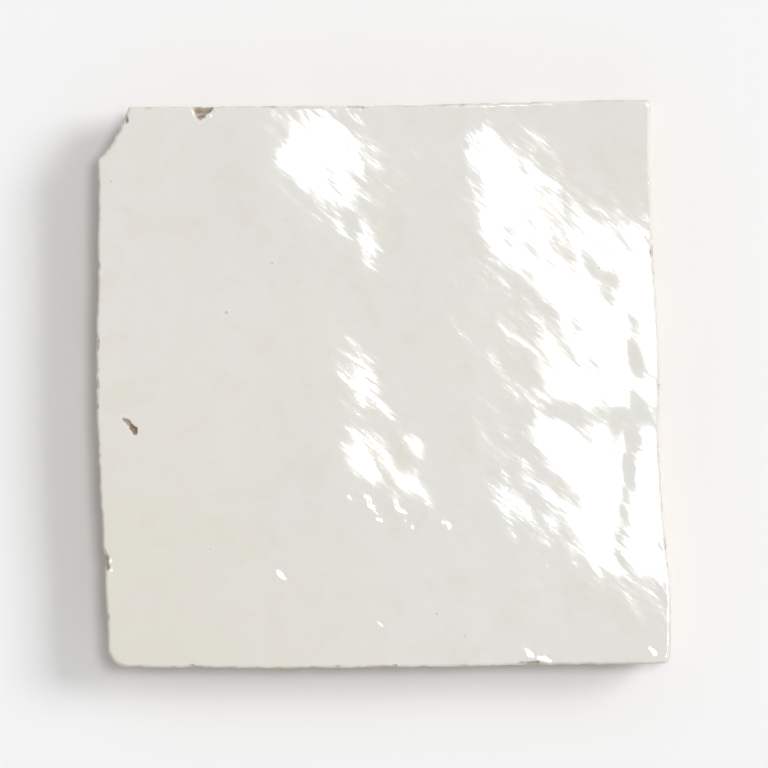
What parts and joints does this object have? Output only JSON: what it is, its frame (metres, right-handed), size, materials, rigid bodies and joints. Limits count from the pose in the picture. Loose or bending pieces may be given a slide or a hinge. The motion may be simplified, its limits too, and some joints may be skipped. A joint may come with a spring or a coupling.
{
  "type": "zellige tile",
  "caption": "Hand-cut glazed terracotta square with a wavy glossy face, chipped edges, one broken corner and chiselled sides that lean in to a flat back.",
  "frame": {"origin": "middle of the tile's outline, on the plane of its back", "axes": "+Z out of the glazed face, +Y towards the side that starts at the broken corner, +X towards the side where the face falls away"},
  "size_m": [0.1008, 0.0996, 0.0126],
  "materials": {
    "glazed_clay": "gloss"
  },
  "bodies": {
    "root": {"zellige_tile": "glazed_clay"}
  },
  "joints": []
}
